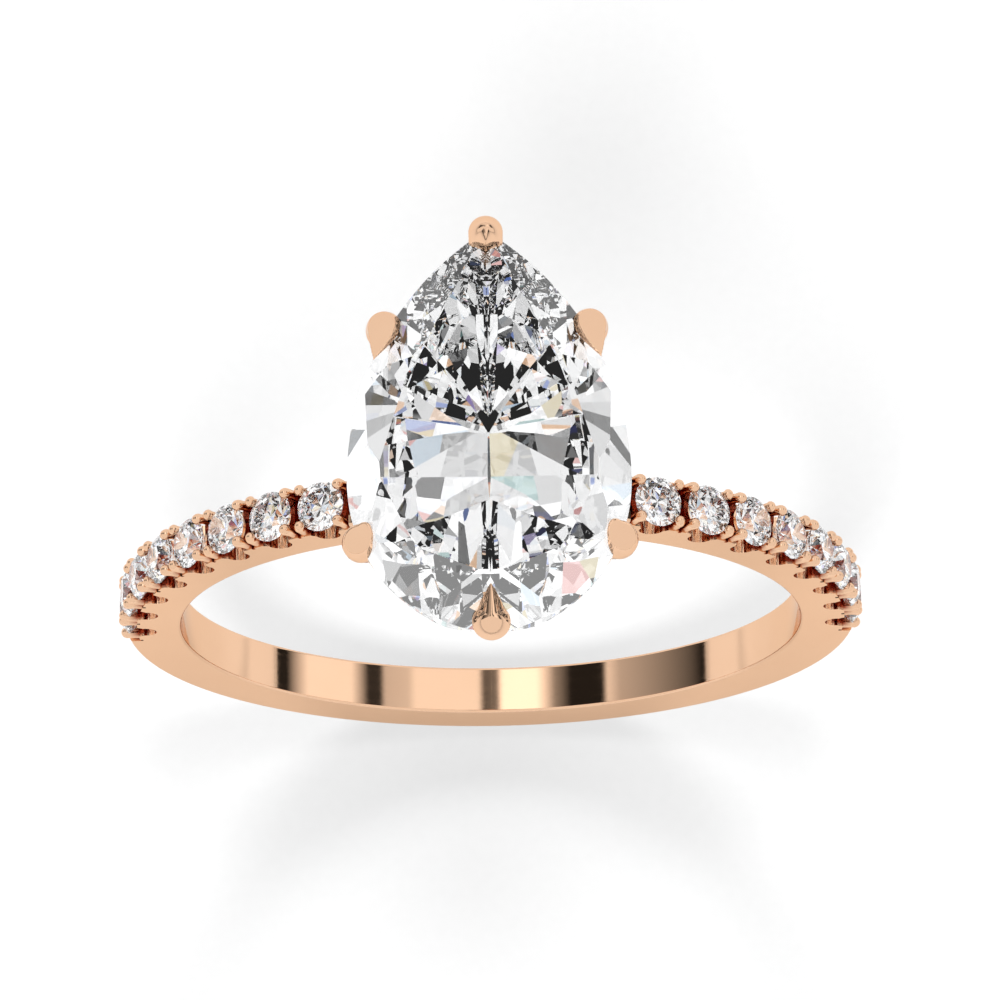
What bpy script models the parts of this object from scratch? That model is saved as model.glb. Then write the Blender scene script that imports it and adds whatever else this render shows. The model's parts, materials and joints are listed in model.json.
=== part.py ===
"""Rose-gold engagement ring: pear-cut centre stone in a six-claw basket, accent stones on a split-prong band.

Frame: origin at the centre of the finger hole, the finger's axis along Y, X across the ring and +Z up
through the centre stone. The pointed end of the pear is towards +Y. Lengths are in metres.
"""

import math

import bmesh
import bpy
from mathutils import Matrix, Vector

MM = 0.001

# Shank
FINGER_RADIUS = 8.25 * MM
SHANK_RADIUS = 9.70 * MM
SHANK_WIDTH = 1.30 * MM
SHANK_EDGE = 0.13 * MM
SHANK_STEPS = 80

# Accent stones: angles are measured from +Z round the finger's axis
ACCENTS_PER_SIDE = 8
FIRST_ACCENT_ANGLE = math.radians(26.3)
ACCENT_PITCH = math.radians(9.15)
ACCENT_RADIUS = 0.65 * MM
ACCENT_GIRDLE_AT = 9.65 * MM
ACCENT_GIRDLE = 0.035 * MM
ACCENT_CROWN = 0.20 * MM
ACCENT_PAVILION = 0.55 * MM

# Split-prong setting of the accent stones
LEDGE_RADIUS = 9.42 * MM
LEDGE_STEPS = 24
PRONG_RADIUS = 0.145 * MM
PRONG_FROM_SLIT = 0.175 * MM
PRONG_SIDE = 0.490 * MM
PRONG_ROOT = 9.25 * MM
PRONG_TOP = 9.90 * MM
PRONG_SIDES = 8
BEAD_SPREAD = 1.08
BEAD_FACET = 52
SLIT_WIDTH = 0.07 * MM
SLIT_FLOOR = 9.36 * MM
SCALLOP_RADIUS = 0.36 * MM
SCALLOP_AT = 9.56 * MM
SCALLOP_SIDES = 12
SEAT_RADIUS = 0.50 * MM
SEAT_FLOOR = 9.05 * MM
SEAT_SIDES = 14
LIGHT_HOLE_RADIUS = 0.30 * MM
LIGHT_HOLE_PAST = 0.5 * MM
STONE_GAP = 0.012 * MM
ACCENT_TABLE = 0.56
ACCENT_SIDES = 16

# Centre stone
PEAR_WIDTH = 7.0 * MM
PEAR_LENGTH = 10.4 * MM
PEAR_WIDEST_Y = -1.3 * MM
PEAR_CULET_Y = -1.6 * MM
PEAR_GIRDLE_AT = 14.6 * MM
PEAR_GIRDLE = 0.16 * MM
PEAR_CROWN = 1.05 * MM
PEAR_PAVILION = 3.0 * MM
PEAR_POINTS = 20
PEAR_MAINS = (142, 184, -133, -90, -47, -4, 38, 90)
PEAR_TABLE = 0.58

# Facet cuts: the star's reach as a share of the table, each kind's slope as a multiple of the main facet's,
# and how much of the pavilion's depth is left above the small flat culet
STAR_REACH = 0.95
STAR_SLOPE = 0.62
UPPER_HALF_SLOPE = 1.27
LOWER_HALF_SLOPE = 1.06
CULET_SHARE = 0.992

# Basket
HEAD_FLOOR = 10.05 * MM
FOOT_SCALE = 0.44
FOOT_SHIFT_Y = -0.45 * MM
FOOT_RADIUS = 0.36 * MM
CLAW_RADIUS = 0.45 * MM
NOSE_RADIUS = 0.43 * MM
RAIL_RADIUS = 0.33 * MM
RAIL_TAPER = 0.25
RAIL_STEPS = 44
SADDLE_HALF_LENGTH = 1.75 * MM
SADDLE_WRAP = 0.4 * MM
SADDLE_SIDES = 192
JOINT_GAP = 0.015 * MM
CLAW_HEAD_LIFT = 0.20 * MM
NOSE_ABOVE_CROWN = 0.03 * MM
CLAW_SIDES = 12
BALL_PROUD = 0.002 * MM

# Claws: name, place at the girdle (x, y), nose direction in degrees from +X, nose length
CLAWS = (
    ("claw_point", (0.0, 5.06), -90.0, 0.75),
    ("claw_shoulder_left", (-2.50, 2.62), -104.0, 1.05),
    ("claw_shoulder_right", (2.50, 2.62), -76.0, 1.05),
    ("claw_side_left", (-3.17, -2.90), 62.0, 0.75),
    ("claw_side_right", (3.17, -2.90), 118.0, 0.75),
    ("claw_base", (0.0, -5.06), 90.0, 1.25),
)

# Gallery rails: name, height of the wire's centre, and how far it runs inside the claws across and along
RAILS = (
    ("upper_gallery_rail", 11.95 * MM, 0.66 * MM, 0.76 * MM),
    ("lower_gallery_rail", HEAD_FLOOR + RAIL_RADIUS, 0.56 * MM, 0.62 * MM),
)

ROSE_GOLD = (0.80, 0.47, 0.32, 1.0)
DIAMOND = (0.96, 0.97, 1.0, 1.0)
SMOOTH_ANGLE = 40


# Scene, materials and small helpers

def clear_scene():
    for old in list(bpy.data.objects):
        bpy.data.objects.remove(old, do_unlink=True)


def new_collection(name):
    collection = bpy.data.collections.new(name)
    bpy.context.scene.collection.children.link(collection)
    return collection


def make_material(name, colour, roughness, metallic, transmission=0.0, ior=1.45):
    material = bpy.data.materials.new(name)
    material.use_nodes = True
    shader = material.node_tree.nodes["Principled BSDF"]
    shader.inputs["Base Color"].default_value = colour
    shader.inputs["Roughness"].default_value = roughness
    shader.inputs["Metallic"].default_value = metallic
    shader.inputs["Transmission Weight"].default_value = transmission
    shader.inputs["IOR"].default_value = ior
    material.diffuse_color = colour
    return material


def add_object(name, bm, collection, material=None, smooth=False):
    bmesh.ops.recalc_face_normals(bm, faces=bm.faces[:])
    mesh = bpy.data.meshes.new(name)
    bm.to_mesh(mesh)
    bm.free()
    if smooth:
        mesh.shade_smooth()
        mesh.set_sharp_from_angle(angle=math.radians(SMOOTH_ANGLE))
    if material is not None:
        mesh.materials.append(material)
    placed = bpy.data.objects.new(name, mesh)
    collection.objects.link(placed)
    return placed


def add_cutter(name, bm, cutters):
    cutter = add_object(name, bm, cutters, smooth=True)
    cutter.hide_render = True
    cutter.display_type = "WIRE"
    return cutter


def combine(target, tool, operation, solver="EXACT"):
    modifier = target.modifiers.new(tool.name, "BOOLEAN")
    modifier.operation = operation
    modifier.solver = solver
    modifier.object = tool


def join_into(bm, part, matrix):
    """Adds a moved copy of one bmesh's geometry to another."""
    copy = part.copy()
    bmesh.ops.transform(copy, matrix=matrix, verts=copy.verts[:])
    mesh = bpy.data.meshes.new("joining")
    copy.to_mesh(mesh)
    copy.free()
    bm.from_mesh(mesh)
    bpy.data.meshes.remove(mesh)


def turned(profile, sides):
    """A closed solid turned about Z from (radius, height) points; the first and last lie on the axis."""
    bm = bmesh.new()
    line = [bm.verts.new((radius, 0.0, height)) for radius, height in profile]
    edges = [bm.edges.new(pair) for pair in zip(line, line[1:])]
    bmesh.ops.spin(bm, geom=line + edges, cent=(0, 0, 0), axis=(0, 0, 1), angle=math.tau,
                   steps=sides, use_merge=True, use_duplicate=False)
    bmesh.ops.remove_doubles(bm, verts=bm.verts[:], dist=1e-7)
    bmesh.ops.recalc_face_normals(bm, faces=bm.faces[:])
    return bm


def box(size, centre):
    bm = bmesh.new()
    bmesh.ops.create_cube(bm, size=1.0)
    bmesh.ops.scale(bm, vec=size, verts=bm.verts[:])
    bmesh.ops.translate(bm, vec=centre, verts=bm.verts[:])
    return bm


def bar_along_y(radius, length, height, sides):
    """A cylinder whose axis runs along Y at the given height."""
    bm = bmesh.new()
    turn = Matrix.Translation((0, 0, height)) @ Matrix.Rotation(math.pi / 2, 4, "X")
    bmesh.ops.create_cone(bm, cap_ends=True, segments=sides, radius1=radius, radius2=radius,
                          depth=length, matrix=turn)
    return bm


def around(angle):
    """Turns a piece built at the top of the ring round to an angle from +Z."""
    return Matrix.Rotation(angle, 4, "Y")


# Stones

def cut_away(bm, point, normal):
    """Grinds one flat facet: removes what lies beyond the plane and closes the cut."""
    geometry = bm.verts[:] + bm.edges[:] + bm.faces[:]
    result = bmesh.ops.bisect_plane(bm, geom=geometry, dist=2e-8, plane_co=point,
                                    plane_no=normal, clear_outer=True)
    rim = [item for item in result["geom_cut"] if isinstance(item, bmesh.types.BMEdge)]
    if len(rim) > 2:
        bmesh.ops.edgeloop_fill(bm, edges=rim)


def brilliant(outline, mains, girdle, crown, pavilion, table, grow=0.0):
    """A brilliant-cut stone ground from a blank: outline points are relative to the culet's place.

    mains are the directions of the kite facets, table is the table's share of the outline, and grow
    moves every facet outwards."""
    bm = bmesh.new()
    corners = [bm.verts.new((x, y, -2 * pavilion)) for x, y in inset_loop(outline, -grow)]
    blank = bm.faces.new(corners)
    raised = bmesh.ops.extrude_face_region(bm, geom=[blank])
    tops = [item for item in raised["geom"] if isinstance(item, bmesh.types.BMVert)]
    bmesh.ops.translate(bm, vec=(0, 0, 4 * pavilion), verts=tops)
    bmesh.ops.recalc_face_normals(bm, faces=bm.faces[:])

    def reach(angle):
        return max(x * math.cos(angle) + y * math.sin(angle) for x, y in outline)

    def grind(angle, distance, height, slope, side):
        away = Vector((math.cos(angle), math.sin(angle), 0))
        normal = (away * slope + Vector((0, 0, side))).normalized()
        cut_away(bm, away * distance + Vector((0, 0, height)) + normal * grow, normal)

    half = girdle / 2
    top = half + crown
    bottom = -half - pavilion
    cut_away(bm, Vector((0, 0, top + grow)), Vector((0, 0, 1)))
    cut_away(bm, Vector((0, 0, bottom * CULET_SHARE - grow)), Vector((0, 0, -1)))
    for index, angle in enumerate(mains):
        following = mains[(index + 1) % len(mains)]
        step = (following - angle) % math.tau
        between = angle + step / 2
        crown_slope = crown / ((1 - table) * reach(angle))
        pavilion_slope = pavilion / reach(angle)
        grind(angle, reach(angle), half, crown_slope, 1)
        grind(angle, reach(angle), -half, pavilion_slope, -1)
        star_slope = STAR_SLOPE * crown / ((1 - table) * reach(between))
        grind(between, STAR_REACH * table * reach(between), top, star_slope, 1)
        for part in (0.25, 0.75):
            towards = angle + step * part
            upper = UPPER_HALF_SLOPE * crown / ((1 - table) * reach(towards))
            lower = LOWER_HALF_SLOPE * pavilion / reach(towards)
            grind(towards, reach(towards), half, upper, 1)
            grind(towards, reach(towards), -half, lower, -1)
    return bm


def pear_outline(points=PEAR_POINTS):
    """The pear seen from above, anticlockwise from its widest right-hand point.

    Each flank is one arc, tangent to a half ellipse at the widest place and meeting the other at the point."""
    half_width = PEAR_WIDTH / 2
    rise = PEAR_LENGTH / 2 - PEAR_WIDEST_Y
    drop = PEAR_LENGTH / 2 + PEAR_WIDEST_Y
    arc_radius = (half_width ** 2 + rise ** 2) / (2 * half_width)
    arc_end = math.asin(rise / arc_radius)
    right = []
    for step in range(points):
        angle = arc_end * step / points
        right.append((half_width - arc_radius * (1 - math.cos(angle)),
                      PEAR_WIDEST_Y + arc_radius * math.sin(angle)))
    flank = right + [(0.0, PEAR_LENGTH / 2)] + [(-x, y) for x, y in reversed(right)]
    base = []
    for step in range(1, 2 * points):
        angle = math.pi + math.pi * step / (2 * points)
        base.append((half_width * math.cos(angle), PEAR_WIDEST_Y + drop * math.sin(angle)))
    return flank + base


def inset_loop(loop, distance):
    """Moves each point of an anticlockwise loop inwards, square to the line through its neighbours."""
    moved = []
    for index, (x, y) in enumerate(loop):
        before = loop[index - 1]
        after = loop[(index + 1) % len(loop)]
        along = Vector((after[0] - before[0], after[1] - before[1])).normalized()
        moved.append((x - along.y * distance, y + along.x * distance))
    return moved


def pear_blank(grow=0.0):
    outline = [(x, y - PEAR_CULET_Y) for x, y in pear_outline()]
    mains = [math.radians(value) for value in PEAR_MAINS]
    bm = brilliant(outline, mains, PEAR_GIRDLE, PEAR_CROWN, PEAR_PAVILION, PEAR_TABLE, grow)
    bmesh.ops.translate(bm, vec=(0, PEAR_CULET_Y, PEAR_GIRDLE_AT), verts=bm.verts[:])
    return bm


def accent_blank():
    outline = []
    for step in range(ACCENT_SIDES):
        angle = math.tau * step / ACCENT_SIDES
        outline.append((ACCENT_RADIUS * math.cos(angle), ACCENT_RADIUS * math.sin(angle)))
    mains = [math.tau * step / 8 for step in range(8)]
    return brilliant(outline, mains, ACCENT_GIRDLE, ACCENT_CROWN, ACCENT_PAVILION, ACCENT_TABLE)


def accent_angle(side, number):
    return side * (FIRST_ACCENT_ANGLE + ACCENT_PITCH * number)


def accent_stones(collection, material):
    """One cut stone, repeated down each shoulder with its table facing away from the finger."""
    bm = accent_blank()
    bmesh.ops.recalc_face_normals(bm, faces=bm.faces[:])
    mesh = bpy.data.meshes.new("accent_stone")
    bm.to_mesh(mesh)
    bm.free()
    mesh.materials.append(material)
    for side, label in ((-1, "left"), (1, "right")):
        for number in range(ACCENTS_PER_SIDE):
            angle = accent_angle(side, number)
            stone = bpy.data.objects.new(f"accent_stone_{label}_{number + 1}", mesh)
            stone.location = (ACCENT_GIRDLE_AT * math.sin(angle), 0, ACCENT_GIRDLE_AT * math.cos(angle))
            stone.rotation_euler = (0, angle, 0)
            collection.objects.link(stone)


# Shank

def shank_profile():
    """Section of the plain band as (radius, width) points, its corners rounded in two steps."""
    half = SHANK_WIDTH / 2
    edge = SHANK_EDGE
    soft = edge * (1 - math.sqrt(0.5))
    corner = [(0.0, edge), (soft, soft), (edge, 0.0)]
    outer = [(SHANK_RADIUS - depth, half - width) for depth, width in reversed(corner)]
    inner = [(FINGER_RADIUS + depth, half - width) for depth, width in corner]
    upper = list(reversed(outer)) + list(reversed(inner))
    lower = [(radius, -width) for radius, width in reversed(upper)]
    return upper + lower


def plain_shank(collection, material):
    mesh = bpy.data.meshes.new("shank")
    points = shank_profile()
    edges = [(index, (index + 1) % len(points)) for index in range(len(points))]
    mesh.from_pydata([(radius, width, 0.0) for radius, width in points], edges, [])
    mesh.materials.append(material)
    shank = bpy.data.objects.new("shank", mesh)
    collection.objects.link(shank)
    screw = shank.modifiers.new("turned about the finger", "SCREW")
    screw.axis = "Y"
    screw.steps = SHANK_STEPS
    screw.render_steps = SHANK_STEPS
    screw.use_merge_vertices = True
    screw.merge_threshold = 0.000001
    screw.use_normal_calculate = True
    solid = bpy.data.meshes.new_from_object(shank.evaluated_get(bpy.context.evaluated_depsgraph_get()))
    solid.shade_smooth()
    solid.set_sharp_from_angle(angle=math.radians(SMOOTH_ANGLE))
    shank.modifiers.clear()
    shank.data = solid
    return shank


def gap_angle(side, number):
    """Middle of the slit before the accent of that number; the last one is past the last accent."""
    return side * (FIRST_ACCENT_ANGLE + ACCENT_PITCH * (number - 0.5))


def trench(cutters):
    """Lowers the band to the ledge that the prongs stand on, along each row of accents."""
    bm = bmesh.new()
    for side in (-1, 1):
        start = gap_angle(side, 0)
        end = gap_angle(side, ACCENTS_PER_SIDE)
        angles = [start + (end - start) * step / LEDGE_STEPS for step in range(LEDGE_STEPS + 1)]
        low = [(LEDGE_RADIUS * math.sin(angle), LEDGE_RADIUS * math.cos(angle)) for angle in angles]
        over = SHANK_RADIUS + ACCENT_RADIUS
        high = [(over * math.sin(angle), over * math.cos(angle)) for angle in reversed(angles)]
        face = bm.faces.new([bm.verts.new((x, -SHANK_WIDTH, z)) for x, z in low + high])
        raised = bmesh.ops.extrude_face_region(bm, geom=[face])
        moved = [item for item in raised["geom"] if isinstance(item, bmesh.types.BMVert)]
        bmesh.ops.translate(bm, vec=(0, 2 * SHANK_WIDTH, 0), verts=moved)
    return add_cutter("accent_trench", bm, cutters)


def prong():
    """One split prong with a rounded bead, at the ring's top and centred on its own axis."""
    bead = PRONG_RADIUS * BEAD_SPREAD
    shoulder = PRONG_TOP - bead
    profile = [
        (0.0, PRONG_ROOT),
        (PRONG_RADIUS, PRONG_ROOT),
        (PRONG_RADIUS, ACCENT_GIRDLE_AT),
        (bead, shoulder),
    ]
    angle = math.radians(BEAD_FACET)
    profile.append((bead * math.cos(angle), shoulder + bead * math.sin(angle)))
    profile.append((0.0, PRONG_TOP))
    return turned(profile, PRONG_SIDES)


def prongs(cutters):
    bm = bmesh.new()
    post = prong()
    for side in (-1, 1):
        for number in range(ACCENTS_PER_SIDE + 1):
            turn = around(gap_angle(side, number))
            ways = [-1, 1]
            if number == 0:
                ways = [side]
            if number == ACCENTS_PER_SIDE:
                ways = [-side]
            for way in ways:
                for across in (-PRONG_SIDE, PRONG_SIDE):
                    join_into(bm, post, turn @ Matrix.Translation((way * PRONG_FROM_SLIT, across, 0)))
    post.free()
    return add_cutter("split_prongs", bm, cutters)


def slits(cutters):
    bm = bmesh.new()
    height = SHANK_RADIUS + ACCENT_RADIUS - SLIT_FLOOR
    blade = box((SLIT_WIDTH, 2 * SHANK_WIDTH, height), (0, 0, SLIT_FLOOR + height / 2))
    for side in (-1, 1):
        for number in range(ACCENTS_PER_SIDE + 1):
            join_into(bm, blade, around(gap_angle(side, number)))
    blade.free()
    return add_cutter("prong_slits", bm, cutters)


def scallops(cutters):
    bm = bmesh.new()
    scoop = bar_along_y(SCALLOP_RADIUS, 2 * SHANK_WIDTH, SCALLOP_AT, SCALLOP_SIDES)
    for side in (-1, 1):
        for number in range(ACCENTS_PER_SIDE):
            join_into(bm, scoop, around(accent_angle(side, number)))
    scoop.free()
    return add_cutter("side_scallops", bm, cutters)


def stone_seats(cutters):
    """Cone under each accent, open to the finger hole through a light hole, and the notch its edge sits in."""
    bm = bmesh.new()
    edge = ACCENT_RADIUS + STONE_GAP
    half = ACCENT_GIRDLE / 2 + STONE_GAP
    table = ACCENT_TABLE * ACCENT_RADIUS + STONE_GAP
    top = ACCENT_GIRDLE_AT + half + ACCENT_CROWN
    profile = [
        (0.0, FINGER_RADIUS - LIGHT_HOLE_PAST),
        (LIGHT_HOLE_RADIUS, FINGER_RADIUS - LIGHT_HOLE_PAST),
        (LIGHT_HOLE_RADIUS, SEAT_FLOOR),
        (SEAT_RADIUS, LEDGE_RADIUS),
        (edge, ACCENT_GIRDLE_AT - half),
        (edge, ACCENT_GIRDLE_AT + half),
        (table, top),
        (0.0, top),
    ]
    seat = turned(profile, SEAT_SIDES)
    for side in (-1, 1):
        for number in range(ACCENTS_PER_SIDE):
            join_into(bm, seat, around(accent_angle(side, number)))
    seat.free()
    return add_cutter("accent_seats", bm, cutters)


def shank(collection, cutters, material):
    band = plain_shank(collection, material)
    combine(band, trench(cutters), "DIFFERENCE")
    combine(band, prongs(cutters), "UNION")
    combine(band, scallops(cutters), "DIFFERENCE")
    combine(band, slits(cutters), "DIFFERENCE")
    combine(band, stone_seats(cutters), "DIFFERENCE", solver="MANIFOLD")
    return band


# Basket

def rod(start, end, start_radius, end_radius, sides):
    """A tapered rod between two points."""
    bm = bmesh.new()
    along = end - start
    turn = along.to_track_quat("Z", "Y").to_matrix().to_4x4()
    place = Matrix.Translation((start + end) / 2) @ turn
    bmesh.ops.create_cone(bm, cap_ends=True, segments=sides, radius1=start_radius, radius2=end_radius,
                          depth=along.length, matrix=place)
    return bm


def ball(centre, radius, sides):
    bm = bmesh.new()
    bmesh.ops.create_uvsphere(bm, u_segments=sides, v_segments=sides // 2, radius=radius,
                              matrix=Matrix.Translation(centre))
    return bm


def nose(start, end, radius, sides):
    """Tear-drop tip of a claw, round at its start and drawn to a point at its end."""
    length = (end - start).length
    profile = [(0.0, -radius)]
    for degrees in (-60, -30, 0):
        angle = math.radians(degrees)
        profile.append((radius * math.cos(angle), radius * math.sin(angle)))
    for share in (0.3, 0.55, 0.75, 0.9):
        profile.append((radius * (1 - share ** 3), length * share))
    profile.append((0.0, length))
    bm = turned(profile, sides)
    turn = (end - start).to_track_quat("Z", "Y").to_matrix().to_4x4()
    bmesh.ops.transform(bm, matrix=Matrix.Translation(start) @ turn, verts=bm.verts[:])
    return bm


def claw_line(place):
    """Foot and girdle-level centres of a claw's wire."""
    hold = Vector((place[0] * MM, place[1] * MM, PEAR_GIRDLE_AT))
    foot = Vector((hold.x * FOOT_SCALE, hold.y * FOOT_SCALE + FOOT_SHIFT_Y, HEAD_FLOOR + FOOT_RADIUS))
    return foot, hold


def crown_height(distance):
    """Height of the crown above the girdle plane at a distance in from the stone's edge."""
    slope = PEAR_CROWN / ((1 - PEAR_TABLE) * PEAR_WIDTH / 2)
    return PEAR_GIRDLE / 2 + min(distance * slope, PEAR_CROWN)


def claw(name, place, direction, reach, collection, cutters, material, stone):
    foot, hold = claw_line(place)
    head = hold + Vector((0, 0, CLAW_HEAD_LIFT))
    away = Vector((math.cos(math.radians(direction)), math.sin(math.radians(direction)), 0))
    inward = Vector((-hold.x, PEAR_WIDEST_Y - hold.y, 0)).normalized()
    depth = max(0.0, away.dot(inward)) * reach * MM
    tip = head + away * reach * MM
    tip.z = PEAR_GIRDLE_AT + crown_height(depth) + NOSE_ABOVE_CROWN
    wire = rod(foot, hold, FOOT_RADIUS, CLAW_RADIUS, CLAW_SIDES)
    body = add_object(name, wire, collection, material, smooth=True)
    pieces = (
        ("foot", ball(foot, FOOT_RADIUS + BALL_PROUD, CLAW_SIDES)),
        ("head", ball(hold, CLAW_RADIUS + BALL_PROUD, CLAW_SIDES)),
        ("nose", nose(head, tip, NOSE_RADIUS, CLAW_SIDES)),
    )
    for label, bm in pieces:
        combine(body, add_cutter(f"{name}_{label}", bm, cutters), "UNION")
    combine(body, stone, "DIFFERENCE")
    return body


def stone_clearance(cutters):
    """The centre stone grown by the joint gap, which cuts its bearing into each claw."""
    return add_cutter("centre_stone_clearance", pear_blank(JOINT_GAP), cutters)


def mesh_from_curve(curve_object, collection, material):
    evaluated = curve_object.evaluated_get(bpy.context.evaluated_depsgraph_get())
    mesh = bpy.data.meshes.new_from_object(evaluated)
    name = curve_object.name
    bm = bmesh.new()
    bm.from_mesh(mesh)
    bmesh.ops.remove_doubles(bm, verts=bm.verts[:], dist=1e-7)
    bpy.data.objects.remove(curve_object, do_unlink=True)
    return add_object(name, bm, collection, material, smooth=True)


def rail_loop(scale, shift, inset_across, inset_along):
    """Egg-shaped centre line that follows the pear, scaled and inset, with a round instead of a sharp end."""
    half_width = scale * PEAR_WIDTH / 2 - inset_across
    half_length = scale * PEAR_LENGTH / 2 - inset_along
    tries = [math.radians(degrees) for degrees in range(360)]
    widest = max(math.cos(angle) * (1 - RAIL_TAPER * math.sin(angle)) for angle in tries)
    loop = []
    for step in range(RAIL_STEPS):
        angle = math.tau * step / RAIL_STEPS
        across = math.cos(angle) * (1 - RAIL_TAPER * math.sin(angle)) / widest
        loop.append((half_width * across, half_length * math.sin(angle) + shift))
    return loop


def gallery_rail(name, height, inset_across, inset_along, collection, material):
    """A round wire bent to the pear, running just inside the claws at one height."""
    foot, hold = claw_line(CLAWS[0][1])
    share = (height - foot.z) / (hold.z - foot.z)
    curve = bpy.data.curves.new(name, "CURVE")
    curve.dimensions = "3D"
    curve.bevel_depth = RAIL_RADIUS
    curve.bevel_resolution = 2
    scale = FOOT_SCALE + (1 - FOOT_SCALE) * share
    points = rail_loop(scale, FOOT_SHIFT_Y * (1 - share), inset_across, inset_along)
    spline = curve.splines.new("POLY")
    spline.points.add(len(points) - 1)
    for point, (x, y) in zip(spline.points, points):
        point.co = (x, y, height, 1.0)
    spline.use_cyclic_u = True
    wire = bpy.data.objects.new(name, curve)
    collection.objects.link(wire)
    bpy.context.view_layer.update()
    return mesh_from_curve(wire, collection, material)


def claw_clearances(cutters):
    """Claw wires grown by the joint gap, which notch the rails."""
    bm = bmesh.new()
    for _name, place, _direction, _reach in CLAWS:
        foot, hold = claw_line(place)
        past_foot = (foot - hold).normalized() * 1.5 * FOOT_RADIUS
        wire = rod(foot + past_foot, hold, FOOT_RADIUS + JOINT_GAP, CLAW_RADIUS + JOINT_GAP, CLAW_SIDES)
        join_into(bm, wire, Matrix.Identity(4))
        wire.free()
    return add_cutter("claw_clearances", bm, cutters)


def saddle(collection, cutters, material):
    """Block between the top of the band and the basket."""
    low = SHANK_RADIUS - SADDLE_WRAP
    top = HEAD_FLOOR - JOINT_GAP
    size = (2 * SADDLE_HALF_LENGTH, SHANK_WIDTH, top - low)
    block = add_object("head_saddle", box(size, (0, 0, (top + low) / 2)), collection, material)
    bar = bar_along_y(SHANK_RADIUS + JOINT_GAP, 2 * SHANK_WIDTH, 0.0, SADDLE_SIDES)
    combine(block, add_cutter("saddle_underside", bar, cutters), "DIFFERENCE")
    return block


def basket(collection, cutters, material):
    stone = stone_clearance(cutters)
    for name, place, direction, reach in CLAWS:
        claw(name, place, direction, reach, collection, cutters, material, stone)
    notches = claw_clearances(cutters)
    for name, height, inset_across, inset_along in RAILS:
        rail = gallery_rail(name, height, inset_across, inset_along, collection, material)
        combine(rail, notches, "DIFFERENCE", solver="MANIFOLD")
    saddle(collection, cutters, material)


def main():
    clear_scene()
    ring = new_collection("engagement_ring")
    cutters = new_collection("cutters")
    gold = make_material("rose_gold", ROSE_GOLD, 0.12, 1.0)
    diamond = make_material("diamond", DIAMOND, 0.0, 0.0, transmission=1.0, ior=2.42)
    shank(ring, cutters, gold)
    basket(ring, cutters, gold)
    add_object("centre_stone", pear_blank(), ring, diamond)
    accent_stones(ring, diamond)


main()
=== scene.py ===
import json
import math

import bmesh
import bpy
from mathutils import Matrix, Vector


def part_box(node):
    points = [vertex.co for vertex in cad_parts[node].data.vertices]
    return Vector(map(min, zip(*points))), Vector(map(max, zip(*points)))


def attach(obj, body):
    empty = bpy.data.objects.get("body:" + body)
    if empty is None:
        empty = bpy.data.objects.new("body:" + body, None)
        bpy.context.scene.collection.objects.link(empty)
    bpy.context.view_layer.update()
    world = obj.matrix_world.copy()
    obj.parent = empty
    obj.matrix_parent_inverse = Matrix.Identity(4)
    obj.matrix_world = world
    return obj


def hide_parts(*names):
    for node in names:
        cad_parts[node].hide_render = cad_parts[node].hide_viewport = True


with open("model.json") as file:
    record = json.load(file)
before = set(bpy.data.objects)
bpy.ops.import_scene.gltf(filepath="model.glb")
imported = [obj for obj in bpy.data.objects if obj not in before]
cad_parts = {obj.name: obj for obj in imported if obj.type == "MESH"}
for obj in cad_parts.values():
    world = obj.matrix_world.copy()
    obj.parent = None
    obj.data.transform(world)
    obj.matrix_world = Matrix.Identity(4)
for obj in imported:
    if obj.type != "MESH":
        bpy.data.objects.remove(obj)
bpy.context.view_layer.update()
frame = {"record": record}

# Looks of a rose-gold engagement ring. Every piece is modelled in millimetres at the CAD's place and scaled to
# metres when it is done. X runs across the ring, Y along the finger, +Z up through the centre stone.

BODY = "root"
TO_MM = 1000.0
TO_M = 0.001


def box_mm(node):
    low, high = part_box(node)
    return low * TO_MM, high * TO_MM


def finger_radius():
    mounts = {mount["name"]: mount for mount in frame["record"]["mounts"]}
    return mounts["finger"]["dims"]["r_mm"]


# Band, from the CAD
SHANK_LOW, SHANK_HIGH = box_mm("shank")
INNER_RADIUS = finger_radius()
OUTER_RADIUS = -SHANK_LOW.z
HALF_WIDTH = (SHANK_HIGH.y - SHANK_LOW.y) / 2
INNER_ROUND = 0.08
OUTER_ROUND = 0.08
BAND_STEPS = 480

# Accent stones and their split prongs
ACCENTS_PER_SIDE = 8
GIRDLE_AT = OUTER_RADIUS - 0.05
ACCENT_RADIUS = 0.65
ACCENT_GIRDLE = 0.03
ACCENT_CROWN = 0.21
ACCENT_PAVILION = 0.55
ACCENT_TABLE = 0.56
LEDGE_RADIUS = OUTER_RADIUS - 0.28
PRONG_RADIUS = 0.125
PRONG_FROM_SLIT = 0.165
PRONG_SIDE = 0.505
PRONG_ROOT = OUTER_RADIUS - 0.45
PRONG_TOP = OUTER_RADIUS + 0.20
BEAD_RADIUS = 0.148
BEAD_LEAN = 0.065
SLIT_WIDTH = 0.09
SLIT_FLOOR = OUTER_RADIUS - 0.36
CHANNEL_WIDTH = 0.26
CHANNEL_LENGTH = 0.72
CHANNEL_FLOOR = OUTER_RADIUS - 0.75
SCALLOPS = ((0.44, OUTER_RADIUS - 0.12), (0.31, OUTER_RADIUS - 0.48))
SEAT_RADIUS = 0.50
SEAT_FLOOR = OUTER_RADIUS - 0.65
LIGHT_HOLE_RADIUS = 0.30
SEAT_GAP = 0.004

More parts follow.
